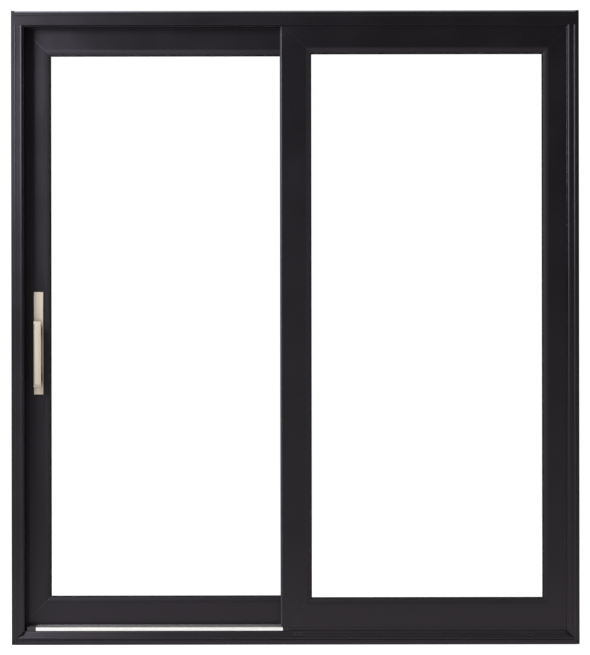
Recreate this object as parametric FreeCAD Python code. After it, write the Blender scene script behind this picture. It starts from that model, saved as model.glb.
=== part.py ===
"""Two-panel sliding patio door: a clad frame, a fixed panel and a sliding panel, in millimetres.

X runs to the right seen from outside, Y runs into the room and Z runs up.
The origin is the middle of the sill's underside.
"""
import FreeCAD, Part
import math
import os

# Frame, overall
FRAME_WIDTH = 1809.75
FRAME_HEIGHT = 2021.0
FRAME_DEPTH = 116.0
JAMB_HORN = 4.5
BOARD_THICKNESS = 17.0

# Outside lip and its cladding
JAMB_FACE = 35.0
HEAD_FACE = 41.0
LIP_DEPTH = 9.0
CLADDING_THICKNESS = 2.5
STRIP_WIDTH = 10.0
STRIP_SETBACK = 0.8
STRIP_FOOT_HEIGHT = 14.0
BEAD_WIDTH = 6.0
BEAD_SLOPE = 2.6
BEAD_HEIGHT = 1.5
BEAD_ROUND = 0.8
HEAD_GROOVE_DROP = 11.2
HEAD_GROOVE_WIDTH = 3.2
HEAD_GROOVE_DEPTH = 1.8
HEAD_ROUND = 2.0
JAMB_FOOT_RISE = 17.5
FLANGE_WIDTH = 4.5
FLANGE_THICKNESS = 3.5
FLANGE_ROUND = 1.0
FLASHING_HEIGHT = 4.2
FLASHING_DEPTH = 30.0
FLASHING_THICKNESS = 1.5

# Stops that part the two tracks and close the room side
PARTING_THICKNESS = 6.5
JAMB_PARTING_PROUD = 12.0
HEAD_PARTING_PROUD = 6.3
STOP_ROUND = 1.5

# Sill
SILL_CORE_HEIGHT = 39.0
DECK_THICKNESS = 4.0
NOSING_HEIGHT = 21.5
NOSING_GROOVE_HEIGHT = 3.5
NOSING_LIP_HEIGHT = 4.0
NOSING_GROOVE_DEPTH = 1.6
RAMP_DEPTH = 11.5
RAMP_STEP = 1.5
RAMP_RIBS = 3
RAMP_RIB_WIDTH = 3.0
RAMP_RIB_HEIGHT = 1.2
RISER_HEIGHT = 11.0
RISER_FOOT_HEIGHT = 3.5
RISER_FACE_SETBACK = 1.5
RISER_FOOT_SETBACK = 6.0
RISER_CAP_LENGTH = 17.0
RISER_CAP_SETBACK = 1.0
RISER_CAP_GROOVES = 2
RISER_CAP_GROOVE_WIDTH = 3.0
RISER_CAP_GROOVE_DEPTH = 3.0
THRESHOLD_HEIGHT = 17.0
COVER_FRONT_HEIGHT = 11.4
COVER_BACK_HEIGHT = 15.0
COVER_ROUND = 1.5
COVER_OVERRUN = 6.3
END_BLOCK_LENGTH = 28.0
WEEP_LENGTH = 30.0
WEEP_WIDTH = 12.0
WEEP_END_FLAT = 0.6
WEEP_PROUD = 1.2
WEEP_SLOT_LENGTH = 17.0
WEEP_SLOT_WIDTH = 4.0
WEEP_MIDDLE_X = 8.0
WEEP_SIDE_INSET = 143.5

# Panels
PANEL_THICKNESS = 44.5
STILE_WIDTH = 93.4
RAIL_WIDTH = 90.0
FIXED_SETBACK = 10.0
PANEL_GAP = 5.5
PANEL_SIDE_CLEARANCE = 5.375
FIXED_SIDE_CLEARANCE = 2.0
PANEL_HEAD_CLEARANCE = 21.5
MOVING_CLEARANCE = 5.0
MEMBER_ROUND = 1.5
BEVEL_WIDTH = 9.0
BEVEL_DEPTH = 5.0
BEVEL_ROUND = 30.0
GLAZING_LIP = 10.0
SHEET_THICKNESS = 5.0
SHEET_GAP = 14.0
GLASS_BITE = 12.0
GLASS_EDGE_CLEARANCE = 3.0
SPACER_WIDTH = 8.0
INSIDE_BEAD_FACE = 6.0
INSIDE_BEAD_EDGE = 4.0
MITRE_GAP = 0.3
INTERLOCK_WIDTH = 4.0
INTERLOCK_DEPTH = 20.0

# Running gear of the sliding panel
TRACK_RIB_WIDTH = 6.0
TRACK_RIB_HEIGHT = 15.0
TRACK_FOOT_WIDTH = 20.0
TRACK_FOOT_HEIGHT = 2.0
WHEEL_RADIUS = 15.0
WHEEL_WIDTH = 10.0
WHEEL_GROOVE_DEPTH = 2.0
WHEEL_SIDE_PLAY = 0.5
RUNNING_GAP = 0.3
AXLE_RADIUS = 3.0
ROLLER_INSET = 150.0
HOUSING_LENGTH = 110.0
HOUSING_CHEEK = 5.0
GUIDE_RIB_WIDTH = 6.0
GUIDE_ENGAGEMENT = 10.0

# Handle and lock
HANDLE_HEIGHT = 961.3
HANDLE_INSET = 57.5
PLATE_WIDTH = 30.5
PLATE_LENGTH = 329.2
PLATE_THICKNESS = 6.0
PLATE_CHAMFER = 1.0
BAR_WIDTH = 23.3
BAR_LENGTH = 208.7
BAR_THICKNESS = 12.0
BAR_DROP = 34.5
BAR_REACH = 45.0
BAR_SIDE_CHAMFER = 4.0
BAR_END_CHAMFER = 8.0
POST_RADIUS = 8.0
POST_SPACING = 152.0
LOCK_PLATE_LENGTH = 160.0
LOCK_PLATE_WIDTH = 22.0
LOCK_PLATE_THICKNESS = 3.0
LOCK_PLATE_ROUND = 6.0
LOCK_SLOT_LENGTH = 50.0
LOCK_SLOT_WIDTH = 10.0

# Places worked out from the sizes above
SIDE_X = FRAME_WIDTH / 2
POCKET_X = SIDE_X - BOARD_THICKNESS
LIP_X = SIDE_X - JAMB_FACE
STRIP_X = SIDE_X - STRIP_WIDTH
OUTSIDE_Y = -FRAME_DEPTH / 2
ROOM_Y = FRAME_DEPTH / 2
CLADDING_BACK_Y = OUTSIDE_Y + CLADDING_THICKNESS
LIP_BACK_Y = OUTSIDE_Y + LIP_DEPTH
FLANGE_FRONT_Y = LIP_BACK_Y - FLANGE_THICKNESS
FIXED_Y = OUTSIDE_Y + FIXED_SETBACK
FIXED_BACK_Y = FIXED_Y + PANEL_THICKNESS
SLIDING_Y = FIXED_BACK_Y + PANEL_GAP
SLIDING_MIDDLE_Y = SLIDING_Y + PANEL_THICKNESS / 2
STOP_Y = SLIDING_Y + PANEL_THICKNESS + MOVING_CLEARANCE
HEAD_TOP = FRAME_HEIGHT - JAMB_HORN
HEAD_BOARD_Z = HEAD_TOP - BOARD_THICKNESS
HEAD_LIP_Z = HEAD_TOP - HEAD_FACE
FLASHING_BACK_Y = CLADDING_BACK_Y + FLASHING_DEPTH
FLASHING_Z = HEAD_TOP - FLASHING_THICKNESS
DECK_Z = SILL_CORE_HEIGHT + DECK_THICKNESS
PANEL_BOTTOM = DECK_Z + RISER_HEIGHT
PANEL_TOP = HEAD_BOARD_Z - PANEL_HEAD_CLEARANCE
PANEL_EDGE_X = POCKET_X - PANEL_SIDE_CLEARANCE
PANEL_WIDTH = PANEL_EDGE_X + STILE_WIDTH / 2
FIXED_EDGE_X = POCKET_X - FIXED_SIDE_CLEARANCE
INTERLOCK_X = FIXED_EDGE_X - PANEL_WIDTH - INTERLOCK_WIDTH
RAMP_BACK_Y = CLADDING_BACK_Y + RAMP_DEPTH
RAMP_TOP = DECK_Z - RAMP_STEP
RAMP_RISE = RAMP_TOP - NOSING_HEIGHT
RAMP_LENGTH = math.hypot(RAMP_DEPTH, RAMP_RISE)
RAMP_SLOPE = math.atan2(RAMP_RISE, RAMP_DEPTH)
WEEP_PLACES = (WEEP_MIDDLE_X, POCKET_X - WEEP_SIDE_INSET)
PARTING_FRONT_Y = FIXED_BACK_Y - PARTING_THICKNESS
PARTING_X = LIP_X - JAMB_PARTING_PROUD
RISER_CAP_X = INTERLOCK_X + COVER_OVERRUN
REBATE_DEPTH = GLASS_BITE + GLASS_EDGE_CLEARANCE
UNIT_BACK = GLAZING_LIP + 2 * SHEET_THICKNESS + SHEET_GAP
TRACK_TOP = DECK_Z + TRACK_RIB_HEIGHT
AXLE_Z = TRACK_TOP + RUNNING_GAP + WHEEL_RADIUS - WHEEL_GROOVE_DEPTH
HOUSING_TOP = AXLE_Z + WHEEL_RADIUS + MOVING_CLEARANCE
HOUSING_WIDTH = WHEEL_WIDTH + 2 * WHEEL_SIDE_PLAY + 2 * HOUSING_CHEEK
GUIDE_BOTTOM = PANEL_TOP - GUIDE_ENGAGEMENT
GUIDE_GROOVE_WIDTH = GUIDE_RIB_WIDTH + 2 * MOVING_CLEARANCE
HANDLE_X = -PANEL_EDGE_X + HANDLE_INSET


def rounded_face(corners, place):
    """Flat face through corners (a, b) or (a, b, radius), with place(a, b) giving each point."""
    points = [place(corner[0], corner[1]) for corner in corners]
    stretches = []
    arcs = []
    for i, corner in enumerate(corners):
        at = points[i]
        radius = corner[2] if len(corner) > 2 else 0.0
        if radius == 0.0:
            stretches.append((at, at))
            continue
        back = (points[i - 1] - at).normalize()
        ahead = (points[(i + 1) % len(points)] - at).normalize()
        half_angle = back.getAngle(ahead) / 2
        reach = radius / math.tan(half_angle)
        start = at + back * reach
        end = at + ahead * reach
        inwards = (back + ahead).normalize()
        middle = at + inwards * (radius / math.sin(half_angle) - radius)
        arcs.append(Part.Arc(start, middle, end).toShape())
        stretches.append((start, end))
    lines = []
    for i, (_, leaving) in enumerate(stretches):
        arriving = stretches[(i + 1) % len(stretches)][0]
        lines.append(Part.makeLine(leaving, arriving))
    return Part.Face(Part.Wire(Part.__sortEdges__(lines + arcs)))


def along_x(corners, low, high):
    """Solid with a Y, Z outline between two X places."""
    face = rounded_face(corners, lambda y, z: FreeCAD.Vector(low, y, z))
    return face.extrude(FreeCAD.Vector(high - low, 0, 0))


def along_y(corners, low, high):
    """Solid with an X, Z outline between two Y places."""
    face = rounded_face(corners, lambda x, z: FreeCAD.Vector(x, low, z))
    return face.extrude(FreeCAD.Vector(0, high - low, 0))


def along_z(corners, low, high):
    """Solid with an X, Y outline between two Z places."""
    face = rounded_face(corners, lambda x, y: FreeCAD.Vector(x, y, low))
    return face.extrude(FreeCAD.Vector(0, 0, high - low))


def box(x, y, z):
    """Block from three (low, high) pairs."""
    corner = FreeCAD.Vector(x[0], y[0], z[0])
    return Part.makeBox(x[1] - x[0], y[1] - y[0], z[1] - z[0], corner)


def rectangle(a, b, radius=0.0):
    """Corners of a rectangle from two (low, high) pairs, all with one radius."""
    return [(a[0], b[0], radius), (a[1], b[0], radius), (a[1], b[1], radius), (a[0], b[1], radius)]


def mirror_x(shape):
    return shape.mirror(FreeCAD.Vector(0, 0, 0), FreeCAD.Vector(1, 0, 0))


def tilt_about_x(shape, degrees, at):
    turned = shape.copy()
    turned.rotate(at, FreeCAD.Vector(1, 0, 0), degrees)
    return turned


# Frame

def jamb_lip_limit():
    """Room of the left jamb's outside lip, with a bead down to the floor and a slanted foot."""
    foot = [
        (-STRIP_X, 0),
        (-STRIP_X + BEAD_WIDTH, 0),
        (-STRIP_X + BEAD_WIDTH, NOSING_HEIGHT),
        (-LIP_X, NOSING_HEIGHT + JAMB_FOOT_RISE),
        (-LIP_X, HEAD_LIP_Z),
        (-STRIP_X, HEAD_LIP_Z),
    ]
    return along_y(foot, OUTSIDE_Y, LIP_BACK_Y)


def jamb_bead(low):
    """Corners across a raised bead with sloped sides, from its low X."""
    face_y = OUTSIDE_Y + BEAD_HEIGHT
    return [
        (low, face_y),
        (low + BEAD_SLOPE, OUTSIDE_Y, BEAD_ROUND),
        (low + BEAD_WIDTH - BEAD_SLOPE, OUTSIDE_Y, BEAD_ROUND),
        (low + BEAD_WIDTH, face_y),
    ]


def left_jamb_cladding():
    """Outer strip up to the frame's top, a face with a bead along each edge, and a flange in the doorway."""
    section = [
        (-STRIP_X, CLADDING_BACK_Y),
        *jamb_bead(-STRIP_X),
        *jamb_bead(-LIP_X - BEAD_WIDTH),
        (-LIP_X, LIP_BACK_Y),
        (-LIP_X - CLADDING_THICKNESS, LIP_BACK_Y),
        (-LIP_X - CLADDING_THICKNESS, CLADDING_BACK_Y),
    ]
    face = along_z(section, 0, FRAME_HEIGHT).common(jamb_lip_limit())
    strip_y = (OUTSIDE_Y + STRIP_SETBACK, CLADDING_BACK_Y)
    strip = along_z(rectangle((-SIDE_X, -STRIP_X), strip_y), STRIP_FOOT_HEIGHT, FRAME_HEIGHT)
    flange_corners = [
        (-LIP_X, FLANGE_FRONT_Y),
        (-LIP_X + FLANGE_WIDTH, FLANGE_FRONT_Y, FLANGE_ROUND),
        (-LIP_X + FLANGE_WIDTH, LIP_BACK_Y),
        (-LIP_X, LIP_BACK_Y),
    ]
    flange = along_z(flange_corners, RAMP_TOP, HEAD_LIP_Z - FLANGE_WIDTH)
    return face.fuse(strip).fuse(flange).removeSplitter()


def left_jamb_board():
    """Full-height board with the core of the outside lip, and the pocket for the lock keeper."""
    board = box((-SIDE_X, -POCKET_X), (CLADDING_BACK_Y, ROOM_Y), (0, HEAD_TOP))
    core_x = (-POCKET_X, -LIP_X - CLADDING_THICKNESS)
    core = box(core_x, (CLADDING_BACK_Y, LIP_BACK_Y), (0, HEAD_TOP)).common(jamb_lip_limit())
    return board.fuse(core).removeSplitter()


def head_cladding():
    """Face with a groove under its top strip, a return under the lip, and a flange in the doorway."""
    groove_top = HEAD_TOP - HEAD_GROOVE_DROP + HEAD_GROOVE_WIDTH / 2
    groove_bottom = groove_top - HEAD_GROOVE_WIDTH
    groove_y = OUTSIDE_Y + HEAD_GROOVE_DEPTH
    face = [
        (CLADDING_BACK_Y, HEAD_TOP),
        (OUTSIDE_Y, HEAD_TOP, HEAD_ROUND),
        (OUTSIDE_Y, groove_top),
        (groove_y, groove_top),
        (groove_y, groove_bottom),
        (OUTSIDE_Y, groove_bottom),
        (OUTSIDE_Y, HEAD_LIP_Z, BEAD_ROUND),
        (CLADDING_BACK_Y, HEAD_LIP_Z),
    ]
    wall = along_x(face, -STRIP_X, STRIP_X)
    return_z = (HEAD_LIP_Z, HEAD_LIP_Z + CLADDING_THICKNESS)
    under = box((-POCKET_X, POCKET_X), (CLADDING_BACK_Y, LIP_BACK_Y), return_z)
    flange_corners = [
        (FLANGE_FRONT_Y, HEAD_LIP_Z),
        (FLANGE_FRONT_Y, HEAD_LIP_Z - FLANGE_WIDTH, FLANGE_ROUND),
        (LIP_BACK_Y, HEAD_LIP_Z - FLANGE_WIDTH),
        (LIP_BACK_Y, HEAD_LIP_Z),
    ]
    return wall.fuse(under).fuse(along_x(flange_corners, -LIP_X, LIP_X)).removeSplitter()


def head_flashing():
    """Light metal angle let into the head board, with an upstand behind the cladding's top edge."""
    foot_y = (CLADDING_BACK_Y, FLASHING_BACK_Y)
    foot = box((-POCKET_X, POCKET_X), foot_y, (FLASHING_Z, HEAD_TOP))
    upstand_y = (CLADDING_BACK_Y, CLADDING_BACK_Y + FLASHING_THICKNESS)
    upstand = box((-STRIP_X, STRIP_X), upstand_y, (HEAD_TOP, HEAD_TOP + FLASHING_HEIGHT))
    return foot.fuse(upstand).removeSplitter()


def head_board():
    """Board between the jamb boards, with a rebate for the flashing."""
    section = [
        (CLADDING_BACK_Y, FLASHING_Z),
        (CLADDING_BACK_Y, HEAD_BOARD_Z),
        (ROOM_Y, HEAD_BOARD_Z),
        (ROOM_Y, HEAD_TOP),
        (FLASHING_BACK_Y, HEAD_TOP),
        (FLASHING_BACK_Y, FLASHING_Z),
    ]
    return along_x(section, -POCKET_X, POCKET_X)


def head_lip_core():
    """Core of the outside lip, behind its cladding and under the head board."""
    core_z = (HEAD_LIP_Z + CLADDING_THICKNESS, HEAD_BOARD_Z)
    return box((-POCKET_X, POCKET_X), (CLADDING_BACK_Y, LIP_BACK_Y), core_z)


def head_liner():
    """Cover of the front track, which steps up over the fixed panel, with the stop that parts the tracks."""
    fixed_x = INTERLOCK_X + INTERLOCK_WIDTH
    outline = [
        (-POCKET_X, HEAD_LIP_Z),
        (fixed_x, HEAD_LIP_Z),
        (fixed_x, PANEL_TOP),
        (POCKET_X, PANEL_TOP),
        (POCKET_X, HEAD_BOARD_Z),
        (-POCKET_X, HEAD_BOARD_Z),
    ]
    bottom_z = HEAD_LIP_Z - HEAD_PARTING_PROUD
    stop = [
        (PARTING_FRONT_Y, HEAD_LIP_Z),
        (PARTING_FRONT_Y, bottom_z, STOP_ROUND),
        (FIXED_BACK_Y, bottom_z, STOP_ROUND),
        (FIXED_BACK_Y, HEAD_LIP_Z),
    ]
    cover = along_y(outline, LIP_BACK_Y, FIXED_BACK_Y)
    return cover.fuse(along_x(stop, -PARTING_X, INTERLOCK_X)).removeSplitter()


def left_jamb_liner():
    """Cover of the front track's end, with the stop that the lock stile closes behind."""
    section = [
        (-POCKET_X, LIP_BACK_Y),
        (-LIP_X, LIP_BACK_Y),
        (-LIP_X, PARTING_FRONT_Y),
        (-PARTING_X, PARTING_FRONT_Y, STOP_ROUND),
        (-PARTING_X, FIXED_BACK_Y, STOP_ROUND),
        (-POCKET_X, FIXED_BACK_Y),
    ]
    return along_z(section, DECK_Z, HEAD_LIP_Z)


def right_jamb_liner():
    """Cover of the rear track's end, which also backs the fixed panel's stile."""
    return box((LIP_X, POCKET_X), (FIXED_BACK_Y, STOP_Y), (DECK_Z, HEAD_BOARD_Z))


def head_guide_rib():
    """Rib under the head board that keeps the sliding panel's top edge upright."""
    middle = (SLIDING_MIDDLE_Y - GUIDE_RIB_WIDTH / 2, SLIDING_MIDDLE_Y + GUIDE_RIB_WIDTH / 2)
    return box((-POCKET_X, LIP_X), middle, (GUIDE_BOTTOM, HEAD_BOARD_Z))


def left_room_stop():
    """Stop on the room side, along the jamb."""
    section = [
        (-POCKET_X, STOP_Y),
        (-LIP_X, STOP_Y),
        (-LIP_X, ROOM_Y, STOP_ROUND),
        (-POCKET_X, ROOM_Y),
    ]
    return along_z(section, DECK_Z, HEAD_BOARD_Z)


def head_room_stop():
    """Stop on the room side, along the head."""
    bottom_z = GUIDE_BOTTOM
    section = [
        (STOP_Y, HEAD_BOARD_Z),
        (STOP_Y, bottom_z),
        (ROOM_Y, bottom_z, STOP_ROUND),
        (ROOM_Y, HEAD_BOARD_Z),
    ]
    return along_x(section, -LIP_X, LIP_X)


# Sill

def sill_nosing():
    """Front face of the sill between the jambs' outer beads, with a groove under its lip."""
    lip_z = NOSING_HEIGHT - NOSING_LIP_HEIGHT
    groove_z = lip_z - NOSING_GROOVE_HEIGHT
    groove_y = OUTSIDE_Y + NOSING_GROOVE_DEPTH
    section = [
        (OUTSIDE_Y, 0),
        (OUTSIDE_Y, groove_z, BEAD_ROUND),
        (groove_y, groove_z),
        (groove_y, lip_z),
        (OUTSIDE_Y, lip_z),
        (OUTSIDE_Y, NOSING_HEIGHT, BEAD_ROUND),
        (CLADDING_BACK_Y, NOSING_HEIGHT),
        (CLADDING_BACK_Y, 0),
    ]
    return along_x(section, -STRIP_X + BEAD_WIDTH, STRIP_X - BEAD_WIDTH)


def ramp_point(along, height=0.0):
    """Place at a distance up the ramp's slope from its foot, and a height above its surface."""
    y = CLADDING_BACK_Y + along * math.cos(RAMP_SLOPE) - height * math.sin(RAMP_SLOPE)
    z = NOSING_HEIGHT + along * math.sin(RAMP_SLOPE) + height * math.cos(RAMP_SLOPE)
    return y, z


def plain_sill_ramp():
    """Slope between the nosing and the deck, with long ribs across it."""
    slope = [ramp_point(0.0)]
    spacing = RAMP_LENGTH / (RAMP_RIBS + 1)
    for rib in range(RAMP_RIBS):
        low = (rib + 1) * spacing - RAMP_RIB_WIDTH / 2
        high = low + RAMP_RIB_WIDTH
        slope += [ramp_point(low), ramp_point(low, RAMP_RIB_HEIGHT)]
        slope += [ramp_point(high, RAMP_RIB_HEIGHT), ramp_point(high)]
    slope += [ramp_point(RAMP_LENGTH), (RAMP_BACK_Y, 0), (CLADDING_BACK_Y, 0)]
    limit = jamb_lip_limit()
    ramp = along_x(slope, -POCKET_X, POCKET_X)
    return ramp.cut(limit).cut(mirror_x(limit))


def weep_cover_blanks():
    """Oval covers across the ramp's ribs, before their slots are cut."""
    height = RAMP_RIB_HEIGHT + WEEP_PROUD
    return [weep_cover_oval(x, WEEP_LENGTH, WEEP_WIDTH, height) for x in WEEP_PLACES]


def weep_cover_oval(x, length, width, height):
    """Oval block that stands out of the ramp's surface by a height."""
    y, z = ramp_point(RAMP_LENGTH / 2)
    long_side = (x - length / 2, x + length / 2)
    short_side = (y - width / 2, y + width / 2)
    corners = rectangle(long_side, short_side, (width - WEEP_END_FLAT) / 2)
    flat = along_z(corners, z, z + height)
    return tilt_about_x(flat, math.degrees(RAMP_SLOPE), FreeCAD.Vector(x, y, z))


def sill_ramp():
    ramp = plain_sill_ramp()
    for cover in weep_cover_blanks():
        ramp = ramp.cut(cover)
    return ramp


def sill_weep_covers():
    """Covers with a slot that lets water out of the sill."""
    covers = []
    for x, blank in zip(WEEP_PLACES, weep_cover_blanks()):
        over = RAMP_RIB_HEIGHT + 2 * WEEP_PROUD
        covers.append(blank.cut(weep_cover_oval(x, WEEP_SLOT_LENGTH, WEEP_SLOT_WIDTH, over)))
    return Part.makeCompound(covers)


def sill_core():
    return box((-POCKET_X, POCKET_X), (RAMP_BACK_Y, ROOM_Y), (0, SILL_CORE_HEIGHT))


def sill_deck():
    return box((-POCKET_X, POCKET_X), (RAMP_BACK_Y, ROOM_Y), (SILL_CORE_HEIGHT, DECK_Z))


def sill_end_blocks():
    """Dark block at the track cover's left end, and the riser's grooved end cap."""
    cap_x = (RISER_CAP_X, RISER_CAP_X + RISER_CAP_LENGTH)
    cap_y = FIXED_Y + RISER_CAP_SETBACK
    cap_z = (DECK_Z, PANEL_BOTTOM)
    cap = box(cap_x, (cap_y, FIXED_BACK_Y), cap_z)
    spacing = RISER_CAP_LENGTH / (RISER_CAP_GROOVES + 1)
    for groove in range(RISER_CAP_GROOVES):
        low = cap_x[0] + (groove + 1) * spacing - RISER_CAP_GROOVE_WIDTH / 2
        groove_x = (low, low + RISER_CAP_GROOVE_WIDTH)
        cap = cap.cut(box(groove_x, (cap_y, cap_y + RISER_CAP_GROOVE_DEPTH), cap_z))
    return Part.makeCompound([cover_bar(-PARTING_X, -PARTING_X + END_BLOCK_LENGTH), cap])


def sill_track_cover():
    """Bright cover of the front track in the doorway, with its right end notched under the fixed panel."""
    cover = cover_bar(-PARTING_X + END_BLOCK_LENGTH, RISER_CAP_X)
    notch_z = (PANEL_BOTTOM, PANEL_BOTTOM + COVER_BACK_HEIGHT)
    return cover.cut(box((INTERLOCK_X, RISER_CAP_X), (RAMP_BACK_Y, FIXED_BACK_Y), notch_z))


def cover_bar(low, high):
    """Stretch of the cover's section on the sill's deck."""
    section = [
        (RAMP_BACK_Y, DECK_Z),
        (RAMP_BACK_Y, DECK_Z + COVER_FRONT_HEIGHT, COVER_ROUND),
        (FIXED_BACK_Y, DECK_Z + COVER_BACK_HEIGHT),
        (FIXED_BACK_Y, DECK_Z),
    ]
    return along_x(section, low, high)


def fixed_riser():
    """Rail that carries the fixed panel, with its foot set back."""
    face_y = FIXED_Y + RISER_FACE_SETBACK
    foot_y = FIXED_Y + RISER_FOOT_SETBACK
    foot_z = DECK_Z + RISER_FOOT_HEIGHT
    section = [
        (foot_y, DECK_Z),
        (foot_y, foot_z),
        (face_y, foot_z),
        (face_y, PANEL_BOTTOM),
        (FIXED_BACK_Y, PANEL_BOTTOM),
        (FIXED_BACK_Y, DECK_Z),
    ]
    return along_x(section, RISER_CAP_X + RISER_CAP_LENGTH, POCKET_X)


def roller_track():
    """Rail with a round crown that the wheels run on."""
    half_rib = TRACK_RIB_WIDTH / 2
    half_foot = TRACK_FOOT_WIDTH / 2
    foot_z = DECK_Z + TRACK_FOOT_HEIGHT
    section = [
        (SLIDING_MIDDLE_Y - half_foot, DECK_Z),
        (SLIDING_MIDDLE_Y - half_foot, foot_z),
        (SLIDING_MIDDLE_Y - half_rib, foot_z),
        (SLIDING_MIDDLE_Y - half_rib, TRACK_TOP, half_rib / 2),
        (SLIDING_MIDDLE_Y + half_rib, TRACK_TOP, half_rib / 2),
        (SLIDING_MIDDLE_Y + half_rib, foot_z),
        (SLIDING_MIDDLE_Y + half_foot, foot_z),
        (SLIDING_MIDDLE_Y + half_foot, DECK_Z),
    ]
    return along_x(section, -POCKET_X, LIP_X)


def room_threshold():
    """Upstand along the sill's room side."""
    section = [
        (STOP_Y, DECK_Z),
        (STOP_Y, DECK_Z + THRESHOLD_HEIGHT),
        (ROOM_Y, DECK_Z + THRESHOLD_HEIGHT, STOP_ROUND),
        (ROOM_Y, DECK_Z),
    ]
    return along_x(section, -LIP_X, LIP_X)


# Panels

def member_section(width):
    """Across and depth of a stile or rail: rounded outside edge, glazing lip and rebate."""
    return [
        (0, 0, MEMBER_ROUND),
        (width - BEVEL_WIDTH, 0, BEVEL_ROUND),
        (width, BEVEL_DEPTH),
        (width, GLAZING_LIP),
        (width - REBATE_DEPTH, GLAZING_LIP),
        (width - REBATE_DEPTH, PANEL_THICKNESS),
        (0, PANEL_THICKNESS, MEMBER_ROUND),
    ]


def inside_bead_section(width):
    """Across and depth of the bead that holds the glass from the room side."""
    return [
        (width - REBATE_DEPTH, UNIT_BACK),
        (width, UNIT_BACK),
        (width, UNIT_BACK + INSIDE_BEAD_EDGE),
        (width - REBATE_DEPTH + INSIDE_BEAD_FACE, PANEL_THICKNESS),
        (width - REBATE_DEPTH, PANEL_THICKNESS),
    ]


def mitred_ring(section, x, y, gap):
    """Four lengths of one section round a panel at x, mitred at 45 degrees from its inner corners."""
    z = (PANEL_BOTTOM, PANEL_TOP)
    inner_x = (x[0] + STILE_WIDTH, x[1] - STILE_WIDTH)
    inner_z = (z[0] + RAIL_WIDTH, z[1] - RAIL_WIDTH)
    back_y = y + PANEL_THICKNESS
    heel = STILE_WIDTH - RAIL_WIDTH

    def rail(edge, inner_edge, step):
        outline = [(y + depth, edge + step * across, *rest) for across, depth, *rest in section(RAIL_WIDTH)]
        left_mitre = [(inner_x[0] + gap, inner_edge), (x[0] + heel + gap, edge)]
        right_mitre = [(x[1] - heel - gap, edge), (inner_x[1] - gap, inner_edge)]
        return along_x(outline, *x).common(along_y(left_mitre + right_mitre, y, back_y))

    def stile(edge, inner_edge, step):
        outline = [(edge + step * across, y + depth, *rest) for across, depth, *rest in section(STILE_WIDTH)]
        heel_x = edge + step * heel
        outside_x = edge - step * STILE_WIDTH
        bottom_mitre = [(inner_edge, inner_z[0]), (heel_x, z[0]), (outside_x, z[0])]
        top_mitre = [(outside_x, z[1]), (heel_x, z[1]), (inner_edge, inner_z[1])]
        return along_z(outline, *z).common(along_y(bottom_mitre + top_mitre, y, back_y))

    return {
        "bottom": rail(z[0], inner_z[0], 1),
        "top": rail(z[1], inner_z[1], -1),
        "left": stile(x[0], inner_x[0], 1),
        "right": stile(x[1], inner_x[1], -1),
    }


def unit_edges(x, inset):
    """X and Z extents of the sealed unit of a panel at x, drawn in by an inset."""
    across = STILE_WIDTH - GLASS_BITE + inset
    up = RAIL_WIDTH - GLASS_BITE + inset
    return (x[0] + across, x[1] - across), (PANEL_BOTTOM + up, PANEL_TOP - up)


def glass_sheets(x, y):
    """Outer and inner sheet of the sealed unit, let into the members by the bite."""
    sheets = []
    for depth in (GLAZING_LIP, UNIT_BACK - SHEET_THICKNESS):
        unit_x, unit_z = unit_edges(x, 0.0)
        sheets.append(box(unit_x, (y + depth, y + depth + SHEET_THICKNESS), unit_z))
    return Part.makeCompound(sheets)


def glass_spacer(x, y):
    """Bar round the edge between the two sheets."""
    spacer_y = (y + GLAZING_LIP + SHEET_THICKNESS, y + GLAZING_LIP + SHEET_THICKNESS + SHEET_GAP)
    outer_x, outer_z = unit_edges(x, 0.0)
    inner_x, inner_z = unit_edges(x, SPACER_WIDTH)
    return box(outer_x, spacer_y, outer_z).cut(box(inner_x, spacer_y, inner_z))


def panel_nodes(name, x, y, stile_names):
    """Members, glass unit and beads of one panel, by node name."""
    members = mitred_ring(member_section, x, y, 0.0)
    beads = mitred_ring(inside_bead_section, x, y, MITRE_GAP)
    return {
        f"{name}_{stile_names[0]}": members["left"],
        f"{name}_{stile_names[1]}": members["right"],
        f"{name}_top_rail": members["top"],
        f"{name}_bottom_rail": members["bottom"],
        f"{name}_glass": glass_sheets(x, y),
        f"{name}_glass_spacer": glass_spacer(x, y),
        f"{name}_inside_beads": Part.makeCompound(list(beads.values())),
    }


def fixed_interlock():
    """Grey strip along the fixed meeting stile's edge."""
    strip_x = (INTERLOCK_X, INTERLOCK_X + INTERLOCK_WIDTH)
    return box(strip_x, (FIXED_BACK_Y - INTERLOCK_DEPTH, FIXED_BACK_Y), (PANEL_BOTTOM, HEAD_LIP_Z))


# Running gear

def roller_places():
    """Middles of the two carriages along the sliding panel."""
    return (-PANEL_EDGE_X + ROLLER_INSET, -PANEL_EDGE_X + PANEL_WIDTH - ROLLER_INSET)


def across_y(radius, width, x):
    """Round bar across the sliding panel's middle at the axle's height."""
    start = FreeCAD.Vector(x, SLIDING_MIDDLE_Y - width / 2, AXLE_Z)
    return Part.makeCylinder(radius, width, start, FreeCAD.Vector(0, 1, 0))


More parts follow.
